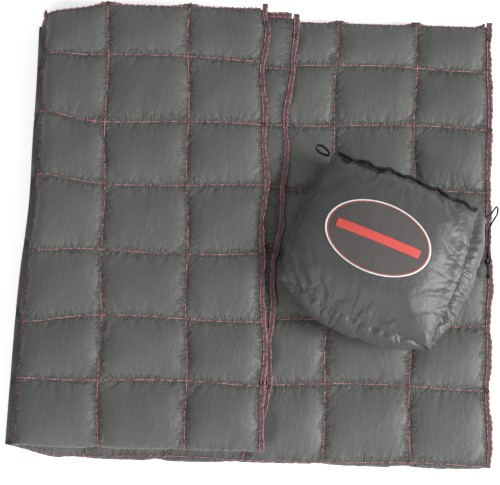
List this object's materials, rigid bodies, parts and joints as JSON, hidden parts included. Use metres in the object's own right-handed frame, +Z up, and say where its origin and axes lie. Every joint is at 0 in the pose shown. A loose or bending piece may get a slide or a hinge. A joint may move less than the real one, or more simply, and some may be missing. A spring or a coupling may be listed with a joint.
{
  "type": "camp blanket",
  "caption": "Quilted camp blanket folded in two with its left third folded over, press studs along the hems, and a stuffed carry sack lying on it.",
  "frame": {"origin": "on the floor under the middle of the folded base", "axes": "+Z up, +X from the side fold towards the open side hem, +Y from the near fold towards the far hems"},
  "size_m": [1.2955, 1.2528, 0.2036],
  "materials": {
    "shell_nylon": "satin",
    "lining_nylon": "satin",
    "wadding": "matte",
    "thread": "matte",
    "black_trim": "matte",
    "badge": "matte",
    "badge_print": "matte",
    "badge_band": "matte",
    "snap_plastic": "gloss",
    "lock_plastic": "satin",
    "spring_steel": "satin"
  },
  "bodies": {
    "base": {"base_outer_shell": "shell_nylon", "base_fill": "wadding", "base_inner_shell": "lining_nylon", "base_side_hem": "shell_nylon", "base_side_snap_1": "snap_plastic", "base_side_snap_2": "snap_plastic", "base_side_snap_3": "snap_plastic", "base_side_snap_4": "snap_plastic", "base_side_snap_5": "snap_plastic", "base_side_snap_6": "snap_plastic", "base_side_snap_7": "snap_plastic", "base_side_snap_8": "snap_plastic", "base_upper_far_hem": "shell_nylon", "base_upper_far_snap_1": "snap_plastic", "base_upper_far_snap_2": "snap_plastic", "base_lower_far_hem": "shell_nylon", "base_lower_far_snap_1": "snap_plastic", "base_lower_far_snap_2": "snap_plastic"},
    "flap": {"flap_outer_shell": "shell_nylon", "flap_fill": "wadding", "flap_inner_shell": "lining_nylon", "flap_side_hem": "shell_nylon", "flap_side_snap_1": "snap_plastic", "flap_side_snap_2": "snap_plastic", "flap_side_snap_3": "snap_plastic", "flap_side_snap_4": "snap_plastic", "flap_side_snap_5": "snap_plastic", "flap_side_snap_6": "snap_plastic", "flap_side_snap_7": "snap_plastic", "flap_side_snap_8": "snap_plastic", "flap_upper_far_hem": "shell_nylon", "flap_far_snap_1": "snap_plastic", "flap_far_snap_2": "snap_plastic", "flap_lower_far_hem": "shell_nylon"},
    "sack": {"sack_front_panel": "shell_nylon", "sack_side_gusset": "shell_nylon", "sack_back_panel": "shell_nylon", "sack_filling": "wadding", "sack_mouth_hem": "black_trim", "badge_patch": "badge", "hang_loop": "black_trim", "drawcord": "black_trim", "drawcord_knot": "black_trim"},
    "cord_lock": {"cord_lock_barrel": "lock_plastic", "cord_lock_spring": "spring_steel"},
    "plunger": {"cord_lock_plunger": "lock_plastic"}
  },
  "joints": [
    {"name": "flap_fold", "type": "hinge", "parent": "base", "child": "flap", "pos_m": [-0.62364, 0, 0.05215], "axis": [-0.0272, -0.9996, 0], "range_deg": [0, 180]},
    {"name": "sack_lift", "type": "slide", "parent": "base", "child": "sack", "axis": [0, 0, 1], "range_m": [0, 0.45]},
    {"name": "lock_slide", "type": "slide", "parent": "sack", "child": "cord_lock", "axis": [0, 1, 0], "range_m": [-0.012, 0.012]},
    {"name": "lock_press", "type": "slide", "parent": "cord_lock", "child": "plunger", "axis": [0, 0, -1], "range_m": [0, 0.004], "stiffness_N_per_m": 600, "springref_m": -0.002, "deforming": ["cord_lock_spring"]}
  ]
}
